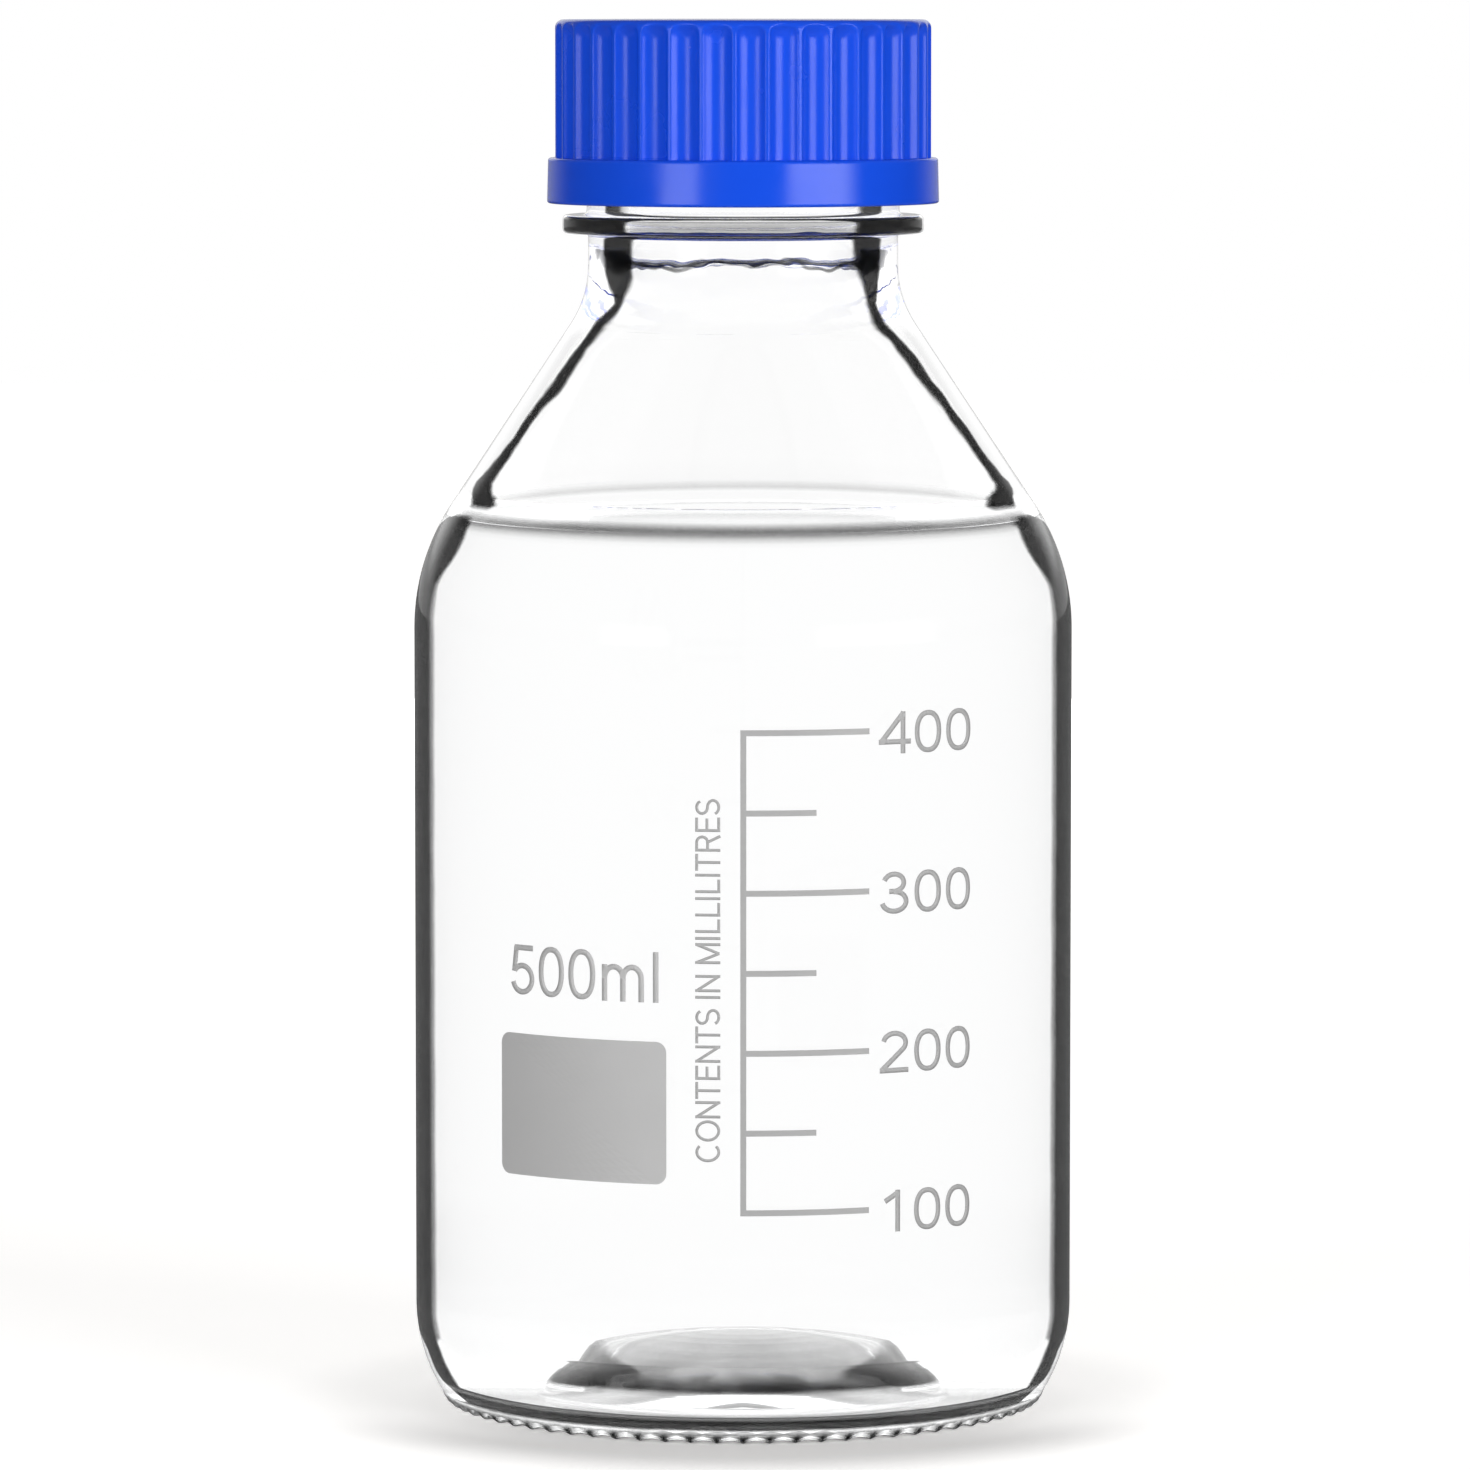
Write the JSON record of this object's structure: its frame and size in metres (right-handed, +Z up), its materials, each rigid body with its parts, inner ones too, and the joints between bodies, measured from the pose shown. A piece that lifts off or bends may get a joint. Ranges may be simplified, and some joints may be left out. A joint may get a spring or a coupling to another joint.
{
  "type": "reagent bottle",
  "caption": "Clear glass laboratory bottle with sloped shoulder, collared screw neck, pouring ring, printed volume scale and fluted blue screw cap that unscrews and lifts off.",
  "frame": {"origin": "centre of the foot ring, in the plane that the bottle stands on", "axes": "+Z up along the bottle's axis, -Y towards the printed front, +X to the right seen from the front"},
  "size_m": [0.086, 0.0862, 0.181],
  "materials": {
    "clear_glass": "polished",
    "ring_plastic": "satin",
    "liner_silicone": "matte",
    "cap_plastic": "satin",
    "grey_enamel": "satin"
  },
  "bodies": {
    "bottle": {"glass_bottle": "clear_glass", "pouring_ring": "ring_plastic", "volume_scale": "grey_enamel", "marking_field": "grey_enamel"},
    "liner": {"cap_liner": "liner_silicone"},
    "cap": {"screw_cap": "cap_plastic"}
  },
  "joints": [
    {"name": "cap_lift", "type": "slide", "parent": "bottle", "child": "liner", "axis": [0, 0, 1], "range_m": [0, 0.026]},
    {"name": "cap_turn", "type": "hinge", "parent": "liner", "child": "cap", "pos_m": [0, 0, 0.169], "axis": [0, 0, 1], "range_deg": [0, 2340]}
  ],
  "couplings": [
    {"joint": "cap_lift", "follows": "cap_turn", "m_per_rad": 0.00063662}
  ]
}
